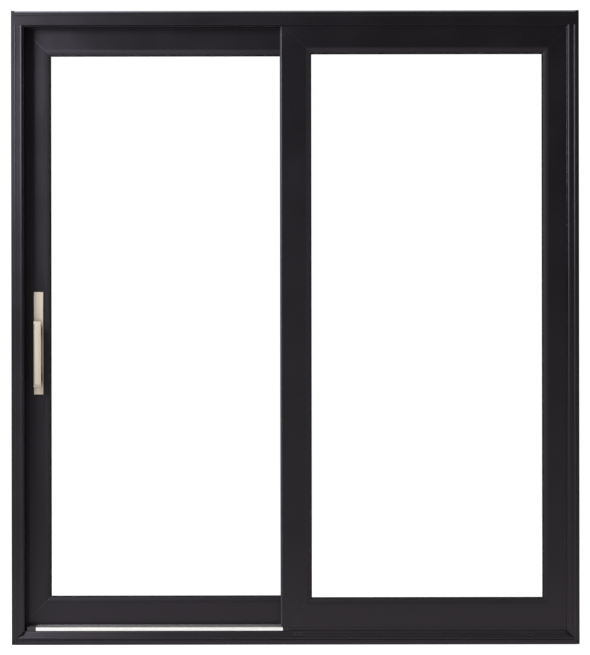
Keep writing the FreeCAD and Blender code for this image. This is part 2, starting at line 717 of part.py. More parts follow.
def roller_housings():
    """Channels that hang in the bottom rail, each with its axle."""
    housings = []
    bottom = TRACK_TOP + MOVING_CLEARANCE
    slot_width = WHEEL_WIDTH + 2 * WHEEL_SIDE_PLAY
    slot_length = 2 * (WHEEL_RADIUS + MOVING_CLEARANCE)
    slot_top = HOUSING_TOP - MOVING_CLEARANCE / 2
    for x in roller_places():
        body_x = (x - HOUSING_LENGTH / 2, x + HOUSING_LENGTH / 2)
        slot_x = (x - slot_length / 2, x + slot_length / 2)
        body_y = (SLIDING_MIDDLE_Y - HOUSING_WIDTH / 2, SLIDING_MIDDLE_Y + HOUSING_WIDTH / 2)
        slot_y = (SLIDING_MIDDLE_Y - slot_width / 2, SLIDING_MIDDLE_Y + slot_width / 2)
        body = box(body_x, body_y, (bottom, HOUSING_TOP)).cut(box(slot_x, slot_y, (bottom, slot_top)))
        housings.append(body.fuse(across_y(AXLE_RADIUS, HOUSING_WIDTH, x)))
    return Part.makeCompound(housings)


def roller_wheels():
    """Grooved wheels that straddle the track's crown."""
    half = WHEEL_WIDTH / 2
    groove = TRACK_RIB_WIDTH / 2 + WHEEL_SIDE_PLAY
    tread = WHEEL_RADIUS - WHEEL_GROOVE_DEPTH
    bore = AXLE_RADIUS + RUNNING_GAP
    section = [
        (-half, bore), (-half, WHEEL_RADIUS), (-groove, WHEEL_RADIUS), (-groove, tread),
        (groove, tread), (groove, WHEEL_RADIUS), (half, WHEEL_RADIUS), (half, bore),
    ]
    wheels = []
    for x in roller_places():
        face = rounded_face(section, lambda y, r: FreeCAD.Vector(x, SLIDING_MIDDLE_Y + y, AXLE_Z + r))
        wheels.append(face.revolve(FreeCAD.Vector(x, 0, AXLE_Z), FreeCAD.Vector(0, 1, 0), 360))
    return Part.makeCompound(wheels)


def panel_grooves():
    """Channels that the guide rib and the rollers need in the sliding panel's edges."""
    long_x = (-PANEL_EDGE_X, -PANEL_EDGE_X + PANEL_WIDTH)
    half_guide = GUIDE_GROOVE_WIDTH / 2
    guide_z = (GUIDE_BOTTOM - MOVING_CLEARANCE, PANEL_TOP)
    guide = box(long_x, (SLIDING_MIDDLE_Y - half_guide, SLIDING_MIDDLE_Y + half_guide), guide_z)
    half_roller = HOUSING_WIDTH / 2
    roller_z = (PANEL_BOTTOM, HOUSING_TOP)
    roller = box(long_x, (SLIDING_MIDDLE_Y - half_roller, SLIDING_MIDDLE_Y + half_roller), roller_z)
    return guide, roller


# Handle and lock

def outside_plate():
    """Long backplate on the lock stile."""
    plate_x = (HANDLE_X - PLATE_WIDTH / 2, HANDLE_X + PLATE_WIDTH / 2)
    plate_z = (HANDLE_HEIGHT - PLATE_LENGTH / 2, HANDLE_HEIGHT + PLATE_LENGTH / 2)
    plate = box(plate_x, (SLIDING_Y - PLATE_THICKNESS, SLIDING_Y), plate_z)
    front = [edge for edge in plate.Edges if edge.BoundBox.YMax < SLIDING_Y - PLATE_THICKNESS / 2]
    return plate.makeChamfer(PLATE_CHAMFER, front)


def outside_pull():
    """Pull bar with chamfered sides and ends, on two round posts."""
    front_y = SLIDING_Y - BAR_REACH
    back_y = front_y + BAR_THICKNESS
    half = BAR_WIDTH / 2
    middle_z = HANDLE_HEIGHT - BAR_DROP
    z = (middle_z - BAR_LENGTH / 2, middle_z + BAR_LENGTH / 2)
    across = [
        (HANDLE_X - half, back_y),
        (HANDLE_X - half, front_y + BAR_SIDE_CHAMFER),
        (HANDLE_X - half + BAR_SIDE_CHAMFER, front_y),
        (HANDLE_X + half - BAR_SIDE_CHAMFER, front_y),
        (HANDLE_X + half, front_y + BAR_SIDE_CHAMFER),
        (HANDLE_X + half, back_y),
    ]
    side = [
        (back_y, z[0]),
        (front_y + BAR_END_CHAMFER, z[0]),
        (front_y, z[0] + BAR_END_CHAMFER),
        (front_y, z[1] - BAR_END_CHAMFER),
        (front_y + BAR_END_CHAMFER, z[1]),
        (back_y, z[1]),
    ]
    pull = along_z(across, *z).common(along_x(side, HANDLE_X - half, HANDLE_X + half))
    post_length = BAR_REACH - BAR_THICKNESS - PLATE_THICKNESS
    for post_z in (middle_z - POST_SPACING / 2, middle_z + POST_SPACING / 2):
        start = FreeCAD.Vector(HANDLE_X, back_y, post_z)
        pull = pull.fuse(Part.makeCylinder(POST_RADIUS, post_length, start, FreeCAD.Vector(0, 1, 0)))
    return pull


def to_room_side(shape):
    """The same piece on the sliding panel's other face."""
    return shape.mirror(FreeCAD.Vector(0, SLIDING_MIDDLE_Y, 0), FreeCAD.Vector(0, 1, 0))


def lock_plate_blank(face_x, inwards):
    """Round-ended plate let flush into an upright edge at face_x."""
    y = (SLIDING_MIDDLE_Y - LOCK_PLATE_WIDTH / 2, SLIDING_MIDDLE_Y + LOCK_PLATE_WIDTH / 2)
    z = (HANDLE_HEIGHT - LOCK_PLATE_LENGTH / 2, HANDLE_HEIGHT + LOCK_PLATE_LENGTH / 2)
    back_x = face_x + inwards * LOCK_PLATE_THICKNESS
    return along_x(rectangle(y, z, LOCK_PLATE_ROUND), min(face_x, back_x), max(face_x, back_x))


def lock_plate(face_x, inwards):
    """Plate with the slot that the lock's hook passes through."""
    y = (SLIDING_MIDDLE_Y - LOCK_SLOT_WIDTH / 2, SLIDING_MIDDLE_Y + LOCK_SLOT_WIDTH / 2)
    z = (HANDLE_HEIGHT - LOCK_SLOT_LENGTH / 2, HANDLE_HEIGHT + LOCK_SLOT_LENGTH / 2)
    reach = LOCK_PLATE_THICKNESS
    return lock_plate_blank(face_x, inwards).cut(box((face_x - reach, face_x + reach), y, z))


def frame_nodes():
    """Pieces that stay with the wall."""
    cladding = left_jamb_cladding()
    board = left_jamb_board()
    room_stop = left_room_stop()
    nodes = {
        "left_jamb_cladding": cladding,
        "right_jamb_cladding": mirror_x(cladding),
        "left_jamb_board": board.cut(lock_plate_blank(-POCKET_X, -1)),
        "right_jamb_board": mirror_x(board),
        "left_jamb_liner": left_jamb_liner(),
        "right_jamb_liner": right_jamb_liner(),
        "left_room_stop": room_stop,
        "right_room_stop": mirror_x(room_stop),
        "head_cladding": head_cladding(),
        "head_flashing": head_flashing(),
        "head_board": head_board(),
        "head_lip_core": head_lip_core(),
        "head_liner": head_liner(),
        "head_guide_rib": head_guide_rib(),
        "head_room_stop": head_room_stop(),
        "sill_nosing": sill_nosing(),
        "sill_ramp": sill_ramp(),
        "sill_weep_covers": sill_weep_covers(),
        "sill_core": sill_core(),
        "sill_deck": sill_deck(),
        "sill_end_blocks": sill_end_blocks(),
        "sill_track_cover": sill_track_cover(),
        "roller_track": roller_track(),
        "room_threshold": room_threshold(),
        "fixed_riser": fixed_riser(),
        "fixed_interlock": fixed_interlock(),
        "lock_keeper": lock_plate(-POCKET_X, -1),
    }
    fixed_x = (FIXED_EDGE_X - PANEL_WIDTH, FIXED_EDGE_X)
    nodes.update(panel_nodes("fixed", fixed_x, FIXED_Y, ("meeting_stile", "jamb_stile")))
    return nodes


def sliding_nodes():
    """Pieces that slide together."""
    sliding_x = (-PANEL_EDGE_X, -PANEL_EDGE_X + PANEL_WIDTH)
    nodes = panel_nodes("sliding", sliding_x, SLIDING_Y, ("lock_stile", "meeting_stile"))
    guide, roller = panel_grooves()
    for member in ("lock_stile", "meeting_stile", "top_rail", "bottom_rail"):
        node = f"sliding_{member}"
        nodes[node] = nodes[node].cut(guide).cut(roller)
    nodes["sliding_lock_stile"] = nodes["sliding_lock_stile"].cut(lock_plate_blank(-PANEL_EDGE_X, 1))
    nodes["lock_faceplate"] = lock_plate(-PANEL_EDGE_X, 1)
    nodes["roller_housings"] = roller_housings()
    nodes["roller_wheels"] = roller_wheels()
    for piece, shape in (("handle_plate", outside_plate()), ("pull", outside_pull())):
        nodes[f"outside_{piece}"] = shape
        nodes[f"inside_{piece}"] = to_room_side(shape)
    return nodes


def main():
    os.makedirs("parts", exist_ok=True)
    for name, shape in {**frame_nodes(), **sliding_nodes()}.items():
        shape.exportStep(f"parts/{name}.step")


main()
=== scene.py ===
"""Sliding patio door: finishes, small pieces and studio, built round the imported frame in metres."""
import math

import bpy
from bpy.props import FloatProperty, FloatVectorProperty, PointerProperty
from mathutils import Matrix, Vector


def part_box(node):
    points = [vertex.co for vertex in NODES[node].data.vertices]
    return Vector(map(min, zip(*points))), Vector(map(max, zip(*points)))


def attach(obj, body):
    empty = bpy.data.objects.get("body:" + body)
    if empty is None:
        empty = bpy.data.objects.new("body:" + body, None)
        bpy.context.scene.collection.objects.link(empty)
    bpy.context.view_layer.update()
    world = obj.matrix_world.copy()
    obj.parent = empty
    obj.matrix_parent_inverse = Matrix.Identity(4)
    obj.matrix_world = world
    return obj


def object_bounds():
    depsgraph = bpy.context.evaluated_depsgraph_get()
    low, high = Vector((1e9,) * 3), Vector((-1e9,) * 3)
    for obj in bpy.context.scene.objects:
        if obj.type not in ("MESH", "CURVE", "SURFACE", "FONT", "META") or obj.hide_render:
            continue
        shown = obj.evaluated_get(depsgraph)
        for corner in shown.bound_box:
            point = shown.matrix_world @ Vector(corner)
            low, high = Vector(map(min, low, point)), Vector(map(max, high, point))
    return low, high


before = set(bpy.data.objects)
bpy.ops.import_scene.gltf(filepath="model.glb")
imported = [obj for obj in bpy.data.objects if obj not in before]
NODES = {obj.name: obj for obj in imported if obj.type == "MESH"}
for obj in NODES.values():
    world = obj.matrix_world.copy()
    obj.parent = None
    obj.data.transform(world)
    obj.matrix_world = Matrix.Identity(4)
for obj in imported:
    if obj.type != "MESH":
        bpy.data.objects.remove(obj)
CAD_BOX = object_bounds()

bl_info = {
    "name": "Sliding patio door",
    "version": (1, 0, 0),
    "blender": (4, 5, 0),
    "location": "View3D > Sidebar > Patio door",
    "description": "Finishes, gaskets, screws and pile strips of a two-panel sliding patio door",
    "category": "Object",
}

# The photograph's frame in pixels, and where the door stands in it
PHOTO_WIDTH = 590
PHOTO_HEIGHT = 655
SILL_LINE = 644.7
DOOR_MIDDLE = 295.3
DOOR_PIXELS = 568.0

FRAME_LOW, FRAME_HIGH = CAD_BOX
FRONT_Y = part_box("sill_nosing")[0].y

# Left and right stile, bottom and top rail of each panel
FIXED = ("fixed_meeting_stile", "fixed_jamb_stile", "fixed_bottom_rail", "fixed_top_rail")
SLIDING = ("sliding_lock_stile", "sliding_meeting_stile", "sliding_bottom_rail", "sliding_top_rail")

# From the cladding's back to the front of the flange in the doorway, and the depth in which its gloss begins
FLANGE_SETBACK = 0.003
FLANGE_FADE = 0.001

# Roughness, grain scale and edge radius of the sprayed and moulded finishes
POWDER_COAT = (0.36, 1100.0, 0.0007)
BOARD_PAINT = (0.46, 600.0, 0.0006)
BEAD_PAINT = (0.42, 700.0, 0.0005)
MOULDING = (0.5, 500.0, 0.0006)
BLOCK_MOULDING = (0.6, 500.0, 0.0006)
WHEEL_MOULDING = (0.35, 400.0, 0.0005)

# Sheen of those finishes, and shades and roughness of their patches, worn edges and seams, the seams'
# lighter shade being a painted highlight
SHEEN_TINT = (1.0, 0.87, 0.99, 1.0)
PATCH_SHADES = (0.85, 1.15)
PATCH_ROUGHNESS = (0.93, 1.07)
WORN_SHADE = 1.7
WORN_ROUGHNESS = -0.06
SEAM_ROUGHNESS = -0.08
FIXED_SEAM_HIGHLIGHT = 2.5
SLIDING_SEAM_HIGHLIGHT = 9.0

# How far a panel's seams reach to each side and its matt bead reaches from the glass
SEAM_REACH = 0.0014
BEAD_REACH = 0.018
BEAD_ROUGHNESS = 0.62

# Roughness, stretch of the brushed lines and edge radius of the metals
SPACER_METAL = (0.45, (12.0, 900.0, 900.0), 0.0004)
TRACK_METAL = (0.24, (10.0, 1400.0, 1400.0), 0.0006)
FLASHING_METAL = (0.6, (10.0, 900.0, 900.0), 0.0004)
HANDLE_PLATING = (0.38, (1500.0, 1500.0, 14.0), 0.0006)
LOCK_PLATING = (0.32, (1500.0, 1500.0, 14.0), 0.0005)
ZINC_PLATING = (0.38, (40.0, 900.0, 900.0), 0.0004)

# How far the painted shade in crevices reaches, and how open a crevice is where that shade is full and where
# it ends
CREVICE_REACH = 0.04
CREVICE_RANGE = (0.57, 0.86)

# Colour, roughness, grain scale and grain depth of the soft trim
GASKET_RUBBER = ((0.012, 0.012, 0.012), 0.6, 700.0, 0.00008)
# Dark rubber in the head's and nosing's grooves, standing in for the grooves' shade
GROOVE_SHADE_RUBBER = ((0.008, 0.008, 0.008), 0.7, 600.0, 0.00005)
PILE_FIBRE = ((0.02, 0.02, 0.021), 0.9, 2600.0, 0.0005)

# Roughness, grain scale and grain depth of the grey seal, whose colour is a setting
SEAL_RUBBER = (0.55, 500.0, 0.00006)

# Clear glass: how strongly it bends light, which is kept low to keep its reflections low, and its haze
GLASS_IOR = 1.3
GLASS_HAZE = 0.012

# Space beside a pile strip, and how wide the head's strip is beside the others
PILE_CLEARANCE = 0.001
HEAD_PILE_SHARE = 0.85

# From a plate's end to its screw, as shares of its width
HANDLE_SCREW_INSET = 0.55
LOCK_SCREW_INSET = 0.6

# Studio: the floor's size, its grey under shadows, and from where to where it fades in glossy surfaces
FLOOR_SIZE = 80.0
FLOOR_GREY = (0.36, 0.36, 0.36, 1.0)
FLOOR_FADE = (-2.0, -0.3)

# Studio: the surround's colour, and the parts of a direction along Y, X and Z between which it changes
WHITE = (1.0, 1.0, 1.0)
BEHIND_CAMERA_FADE = (-0.8, -0.45)
RIGHT_SIDE_FADE = (0.3, 0.85)
OVERHEAD_FADE = (0.75, 0.95)

# Studio: place and size of the soft boxes, and the key's colour and how high up the door it is aimed
KEY_PLACE = (-2.0, -1.4, 2.08)
KEY_SIZE = 0.9
KEY_COLOUR = (0.88, 0.92, 1.0)
KEY_AIM = 0.8
ROOM_PLACE = (1.9, 2.4, 2.9)
ROOM_SIZE = 1.4

# How closely a face's normal follows an axis where the face looks along it
FACING = 0.9

# Types of the node groups' sockets
FLOAT = "NodeSocketFloat"
VECTOR = "NodeSocketVector"


# Sizes and colours that a user would change

class DoorColours(bpy.types.PropertyGroup):
    """Colours of the finishes."""
    cladding: FloatVectorProperty(
        name="Cladding", description="Powder coat of the metal cladding",
        subtype="COLOR", size=3, min=0.0, max=1.0, default=(0.0075, 0.0066, 0.0078))
    boards: FloatVectorProperty(
        name="Boards", description="Paint of the boards, liners, stops and beads",
        subtype="COLOR", size=3, min=0.0, max=1.0, default=(0.0062, 0.0055, 0.006))
    plastic: FloatVectorProperty(
        name="Plastic", description="Moulded caps, covers and wheels",
        subtype="COLOR", size=3, min=0.0, max=1.0, default=(0.011, 0.0105, 0.0105))
    nickel: FloatVectorProperty(
        name="Nickel", description="Satin plating of the handle and the lock plates",
        subtype="COLOR", size=3, min=0.0, max=1.0, default=(0.87, 0.75, 0.6))
    track: FloatVectorProperty(
        name="Track", description="Bright cover and rail on the sill",
        subtype="COLOR", size=3, min=0.0, max=1.0, default=(0.93, 0.9, 0.86))
    steel: FloatVectorProperty(
        name="Steel", description="Zinc-plated roller housings and screws",
        subtype="COLOR", size=3, min=0.0, max=1.0, default=(0.58, 0.58, 0.6))
    seal: FloatVectorProperty(
        name="Seal", description="Grey strip at the meeting stiles",
        subtype="COLOR", size=3, min=0.0, max=1.0, default=(0.09, 0.09, 0.095))
    glass: FloatVectorProperty(
        name="Glass", description="Tint of each glass surface",
        subtype="COLOR", size=3, min=0.0, max=1.0, default=(0.993, 0.998, 0.995))


class DoorTrim(bpy.types.PropertyGroup):
    """Sizes of the small pieces."""
    gasket_width: FloatProperty(
        name="Gasket width", description="How far a gasket reaches over the glass",
        unit="LENGTH", default=0.0022, min=0.0005, max=0.006)
    gasket_height: FloatProperty(
        name="Gasket height", description="How far a gasket stands off the glass",
        unit="LENGTH", default=0.0024, min=0.0005, max=0.004)
    pile_width: FloatProperty(
        name="Pile width", description="Width of a pile strip's backing",
        unit="LENGTH", default=0.0066, min=0.004, max=0.012)
    backing: FloatProperty(
        name="Backing", description="Thickness of a pile strip's backing",
        unit="LENGTH", default=0.0008, min=0.0004, max=0.002)
    pile_gap: FloatProperty(
        name="Pile gap", description="Space between a pile strip and the panel that slides past it",
        unit="LENGTH", default=0.0004, min=0.0002, max=0.001)
    head_groove_drop: FloatProperty(
        name="Head groove drop", description="From the head's top to its groove",
        unit="LENGTH", default=0.0096, min=0.0, max=0.03)
    head_groove_height: FloatProperty(
        name="Head groove height", description="Height of the head's groove",
        unit="LENGTH", default=0.0032, min=0.001, max=0.01)
    head_groove_depth: FloatProperty(
        name="Head groove depth", description="Depth of the head's groove",
        unit="LENGTH", default=0.0018, min=0.001, max=0.003)
    nosing_groove_drop: FloatProperty(
        name="Nosing groove drop", description="From the nosing's top to its groove",
        unit="LENGTH", default=0.004, min=0.0, max=0.02)
    nosing_groove_height: FloatProperty(
        name="Nosing groove height", description="Height of the nosing's groove",
        unit="LENGTH", default=0.0035, min=0.001, max=0.01)
    nosing_groove_depth: FloatProperty(
        name="Nosing groove depth", description="Depth of the nosing's groove",
        unit="LENGTH", default=0.0016, min=0.001, max=0.003)
    # How far the dark groove rubber, which stands in for the grooves' shade, lies behind the face
    shade_strip_setback: FloatProperty(
        name="Seal setback", description="How far a groove's seal lies behind the face",
        unit="LENGTH", default=0.0004, min=0.0, max=0.001)
    screw_radius: FloatProperty(
        name="Screw radius", description="Radius of a screw's head",
        unit="LENGTH", default=0.0036, min=0.002, max=0.006)
    screw_height: FloatProperty(
        name="Screw height", description="Height of a screw's head",
        unit="LENGTH", default=0.0018, min=0.001, max=0.003)


class DoorStudio(bpy.types.PropertyGroup):
    """Camera and lights."""
    distance: FloatProperty(
        name="Distance", description="From the camera to the face of the frame",
        unit="LENGTH", default=6.9, min=2.0, max=20.0)
    roll: FloatProperty(
        name="Roll", description="Tilt of the photograph",
        subtype="ANGLE", default=math.radians(0.085), min=-0.1, max=0.1)
    key_power: FloatProperty(
        name="Key power", description="Soft box at the upper left",
        default=82.0, min=0.0, max=1000.0)
    fill_power: FloatProperty(
        name="Fill power", description="Soft box on the room side",
        default=40.0, min=0.0, max=1000.0)
    surround: FloatProperty(
        name="Surround", description="Brightness of the studio's sides and ceiling in glossy surfaces",
        default=0.8, min=0.0, max=2.0)
    right_side: FloatProperty(
        name="Right side", description="How much brighter the surround is at the right",
        default=1.5, min=0.0, max=4.0)
    overhead: FloatProperty(
        name="Overhead", description="How much brighter the surround is straight above",
        default=1.7, min=0.0, max=5.0)
    behind_camera: FloatProperty(
        name="Behind camera", description="Brightness of the studio behind the camera in glossy surfaces",
        default=0.05, min=0.0, max=1.0)
    backdrop: FloatProperty(
        name="Backdrop", description="White of the surround as the camera sees it, also through glass",
        default=1.06, min=0.5, max=1.5)
    ambient: FloatProperty(
        name="Ambient", description="Brightness of the world on matt surfaces",
        default=0.5, min=0.0, max=1.0)
    far_floor: FloatProperty(
        name="Far floor", description="Share of its white that glossy surfaces show of the far floor",
        default=0.62, min=0.0, max=1.0)
    floor_glow: FloatProperty(
        name="Floor glow", description="White of the floor apart from the light on it",
        default=0.86, min=0.0, max=1.0)


# Node trees

def add_node(tree, kind, inputs=None, **settings):
    """Node of one kind with its settings, and its inputs set to values or linked from sockets."""
    made = tree.nodes.new(kind)
    for name, value in settings.items():
        setattr(made, name, value)
    for name, value in (inputs or {}).items():
        if isinstance(value, bpy.types.NodeSocket):
            tree.links.new(value, made.inputs[name])
        else:
            made.inputs[name].default_value = value
    return made


def add_math(tree, operation, *values):
    return add_node(tree, "ShaderNodeMath", dict(enumerate(values)), operation=operation).outputs[0]


def remap(tree, value, low, high, to_low=0.0, to_high=1.0):
    """Smooth step from one range to another."""
    inputs = {"Value": value, "From Min": low, "From Max": high, "To Min": to_low, "To Max": to_high}
    return add_node(tree, "ShaderNodeMapRange", inputs, interpolation_type="SMOOTHSTEP").outputs["Result"]


def new_group(name, inputs, outputs):
    """Shader node group with its sockets, and its input and output nodes."""
    tree = bpy.data.node_groups.new(name, "ShaderNodeTree")
    for socket, (kind, value) in inputs.items():
        made = tree.interface.new_socket(socket, in_out="INPUT", socket_type=kind)
        if value is not None:
            made.default_value = value
    for socket, kind in outputs.items():
        tree.interface.new_socket(socket, in_out="OUTPUT", socket_type=kind)
    return tree, tree.nodes.new("NodeGroupInput").outputs, tree.nodes.new("NodeGroupOutput").inputs


def grain_group():
    """Fine orange peel and broad cloudy patches of a sprayed or moulded surface."""
    tree, given, result = new_group(
        "surface_grain",
        {"Vector": (VECTOR, None), "Grain Scale": (FLOAT, 900.0), "Patch Scale": (FLOAT, 5.0)},
        {"Grain": FLOAT, "Patches": FLOAT},
    )
    fine = {"Vector": given["Vector"], "Scale": given["Grain Scale"], "Detail": 2.0, "Roughness": 0.6}
    broad = {"Vector": given["Vector"], "Scale": given["Patch Scale"], "Detail": 4.0, "Roughness": 0.55}
    tree.links.new(add_node(tree, "ShaderNodeTexNoise", fine).outputs["Fac"], result["Grain"])
    cloud = add_node(tree, "ShaderNodeTexNoise", broad).outputs["Fac"]
    tree.links.new(remap(tree, cloud, 0.3, 0.7), result["Patches"])
    return tree


def brushed_group():
    """Fine lines of a brushed or drawn metal, along the axis with the smallest stretch."""
    tree, given, result = new_group(
        "brushed_lines",
        {"Vector": (VECTOR, None), "Stretch": (VECTOR, (1500.0, 1500.0, 12.0))},
        {"Lines": FLOAT, "Streaks": FLOAT},
    )
    stretched = add_node(
        tree, "ShaderNodeVectorMath", {0: given["Vector"], 1: given["Stretch"]}, operation="MULTIPLY")
    lines = {"Vector": stretched.outputs[0], "Scale": 1.0, "Detail": 3.0, "Roughness": 0.7}
    streaks = {"Vector": stretched.outputs[0], "Scale": 0.16, "Detail": 2.0}
    tree.links.new(add_node(tree, "ShaderNodeTexNoise", lines).outputs["Fac"], result["Lines"])
    broad = add_node(tree, "ShaderNodeTexNoise", streaks).outputs["Fac"]
    tree.links.new(remap(tree, broad, 0.3, 0.7), result["Streaks"])
    return tree


def edges_group():
    """Normal that rounds off sharp edges, and a mask of the worn edges themselves."""
    tree, given, result = new_group(
        "soft_edges",
        {"Radius": (FLOAT, 0.0006)},
        {"Normal": VECTOR, "Edges": FLOAT},
    )
    rounded = add_node(tree, "ShaderNodeBevel", {"Radius": given["Radius"]}, samples=4).outputs["Normal"]
    flat = tree.nodes.new("ShaderNodeNewGeometry").outputs["Normal"]
    facing = add_node(tree, "ShaderNodeVectorMath", {0: rounded, 1: flat}, operation="DOT_PRODUCT")
    tree.links.new(rounded, result["Normal"])
    tree.links.new(remap(tree, facing.outputs["Value"], 0.99, 0.8), result["Edges"])
    return tree


def mitre_group():
    """Masks of a panel's mitre seams and glazing bead, for places from its middle and half its opening."""
    tree, given, result = new_group(
        "mitre_seams",
        {
            "Vector": (VECTOR, None), "Half Width": (FLOAT, 0.5), "Half Height": (FLOAT, 1.0),
            "Seam": (FLOAT, SEAM_REACH), "Bead": (FLOAT, BEAD_REACH),
        },
        {"Seams": FLOAT, "Beads": FLOAT},
    )
    place = add_node(tree, "ShaderNodeSeparateXYZ", {"Vector": given["Vector"]}).outputs
    from_side = add_math(tree, "SUBTRACT", add_math(tree, "ABSOLUTE", place["X"]), given["Half Width"])
    from_end = add_math(tree, "SUBTRACT", add_math(tree, "ABSOLUTE", place["Z"]), given["Half Height"])
    off_seam = add_math(tree, "ABSOLUTE", add_math(tree, "SUBTRACT", from_side, from_end))
    tree.links.new(remap(tree, off_seam, 0.0, given["Seam"], 1.0, 0.0), result["Seams"])
    off_glass = add_math(tree, "MAXIMUM", from_side, from_end)
    bead_start = add_math(tree, "MULTIPLY", given["Bead"], 0.6)
    tree.links.new(remap(tree, off_glass, bead_start, given["Bead"], 1.0, 0.0), result["Beads"])
    return tree


def crevices_group():
    """Mask of corners and gaps that the light hardly reaches, for painted shade."""
    tree, given, result = new_group("crevices", {"Reach": (FLOAT, CREVICE_REACH)}, {"Mask": FLOAT})
    exposed = add_node(tree, "ShaderNodeAmbientOcclusion", {"Distance": given["Reach"]}, samples=8)
    tree.links.new(remap(tree, exposed.outputs["AO"], *CREVICE_RANGE, 1.0, 0.0), result["Mask"])
    return tree


def use_group(tree, name, **inputs):
    """One of the shared groups, placed with this material's own values."""
    builders = {
        "surface_grain": grain_group,
        "brushed_lines": brushed_group,
        "soft_edges": edges_group,
        "mitre_seams": mitre_group,
        "crevices": crevices_group,
    }
    group = bpy.data.node_groups.get(name) or builders[name]()
    made = add_node(tree, "ShaderNodeGroup", node_tree=group)
    for socket, value in inputs.items():
        socket = socket.replace("_", " ").title()
        if isinstance(value, bpy.types.NodeSocket):
            tree.links.new(value, made.inputs[socket])
        else:
            made.inputs[socket].default_value = value
    return made.outputs


# Materials

def new_material(name, **values):
    """Material with a principled shader set to plain values, its tree, and its object coordinates."""
    material = bpy.data.materials.new(name)
    material.use_nodes = True
    tree = material.node_tree
    tree.nodes.clear()
    shader = tree.nodes.new("ShaderNodeBsdfPrincipled")
    for socket, value in values.items():
        shader.inputs[socket.replace("_", " ")].default_value = value
    surface = add_node(tree, "ShaderNodeOutputMaterial").inputs["Surface"]
    tree.links.new(shader.outputs["BSDF"], surface)
    place = tree.nodes.new("ShaderNodeTexCoord").outputs["Object"]
    return material, tree, shader, place


def shade(colour, factor):
    """Colour times a factor, with an alpha of one."""
    return (*(channel * factor for channel in colour), 1.0)


def mix_colour(tree, mask, low, high):
    """Colour between two, either of which may be fixed or vary, by a mask."""
    made = add_node(tree, "ShaderNodeMix", data_type="RGBA")
    inputs = {socket.identifier: socket for socket in made.inputs}
    for name, value in (("Factor_Float", mask), ("A_Color", low), ("B_Color", high)):
        if isinstance(value, bpy.types.NodeSocket):
            tree.links.new(value, inputs[name])
        else:
            inputs[name].default_value = value
    return next(socket for socket in made.outputs if socket.identifier == "Result_Color")


def bump(tree, height, distance, strength, normal):
    """Normal disturbed by a height."""
    inputs = {"Height": height, "Distance": distance, "Strength": strength, "Normal": normal}
    return add_node(tree, "ShaderNodeBump", inputs).outputs["Normal"]


def coated_material(
        name, colour, roughness, grain_scale, edge_radius, level=0.5, panel=None, seam_highlight=3.0,
        flange=None):
    """Sprayed or moulded finish, with a panel's seams, lightened as a painted highlight, and matt bead, or
    glossy behind a flange's front.
    """
    material, tree, shader, place = new_material(
        name, IOR=1.45, Specular_IOR_Level=level, Specular_Tint=SHEEN_TINT)
    grain = use_group(tree, "surface_grain", vector=place, grain_scale=grain_scale, patch_scale=4.0)
    edges = use_group(tree, "soft_edges", radius=edge_radius)
    uneven = add_math(tree, "MULTIPLY_ADD", grain["Patches"], 0.6, 0.4)
    worn = add_math(tree, "MULTIPLY", edges["Edges"], uneven)
    tint = mix_colour(tree, grain["Patches"], *(shade(colour, factor) for factor in PATCH_SHADES))
    tint = mix_colour(tree, worn, tint, shade(colour, WORN_SHADE))
    smooth, coarse = (roughness * factor for factor in PATCH_ROUGHNESS)
    rough = remap(tree, grain["Patches"], 0.0, 1.0, smooth, coarse)
    rough = add_math(tree, "MULTIPLY_ADD", worn, WORN_ROUGHNESS, rough)
    normal = bump(tree, grain["Grain"], distance=0.00006, strength=0.5, normal=edges["Normal"])
    if flange:
        depth = add_node(tree, "ShaderNodeSeparateXYZ", {"Vector": place}).outputs["Y"]
        behind = remap(tree, depth, flange - FLANGE_FADE, flange)
        rough = add_math(tree, "MULTIPLY_ADD", behind, -roughness / 2, rough)
    if panel:
        low, high = opening_box(panel)
        middle = (low + high) / 2
        centred = add_node(tree, "ShaderNodeMapping", {"Vector": place, "Location": -middle}).outputs[0]
        masks = use_group(
            tree, "mitre_seams", vector=centred, half_width=(high.x - low.x) / 2,
            half_height=(high.z - low.z) / 2, seam=SEAM_REACH, bead=BEAD_REACH)
        seams = masks["Seams"]
        # Painted highlight: the seams are lightened in colour as if they caught the light
        tint = mix_colour(tree, seams, tint, shade(colour, seam_highlight))
        rough = add_math(tree, "MULTIPLY_ADD", masks["Beads"], BEAD_ROUGHNESS - roughness, rough)
        rough = add_math(tree, "MULTIPLY_ADD", seams, SEAM_ROUGHNESS, rough)
        normal = bump(tree, seams, distance=0.0003, strength=0.5, normal=normal)
    tree.links.new(tint, shader.inputs["Base Color"])
    tree.links.new(rough, shader.inputs["Roughness"])
    tree.links.new(normal, shader.inputs["Normal"])
    return material


def metal_material(name, colour, roughness, stretch, edge_radius, metallic=1.0, crevice_shade=1.0):
    """Brushed or drawn metal with lines along one axis, darker in its crevices by a factor, a painted shade.
    """
    material, tree, shader, place = new_material(name, Metallic=metallic)
    brushed = use_group(tree, "brushed_lines", vector=place, stretch=stretch)
    edges = use_group(tree, "soft_edges", radius=edge_radius)
    dull, bright, worn = shade(colour, 0.96), shade(colour, 1.03), shade(colour, 1.12)
    tint = mix_colour(tree, brushed["Streaks"], dull, bright)
    tint = mix_colour(tree, edges["Edges"], tint, worn)
    # Painted shade: darker colour where an occlusion lookup finds crevices, as on the plate beside the pull
    if crevice_shade < 1.0:
        crevices = use_group(tree, "crevices", reach=CREVICE_REACH)["Mask"]
        tint = mix_colour(tree, crevices, tint, shade(colour, crevice_shade))
    rough = remap(tree, brushed["Lines"], 0.3, 0.7, roughness * 0.85, roughness * 1.15)
    normal = bump(tree, brushed["Lines"], distance=0.00003, strength=0.5, normal=edges["Normal"])
    tree.links.new(tint, shader.inputs["Base Color"])
    tree.links.new(rough, shader.inputs["Roughness"])
    tree.links.new(normal, shader.inputs["Normal"])
    return material


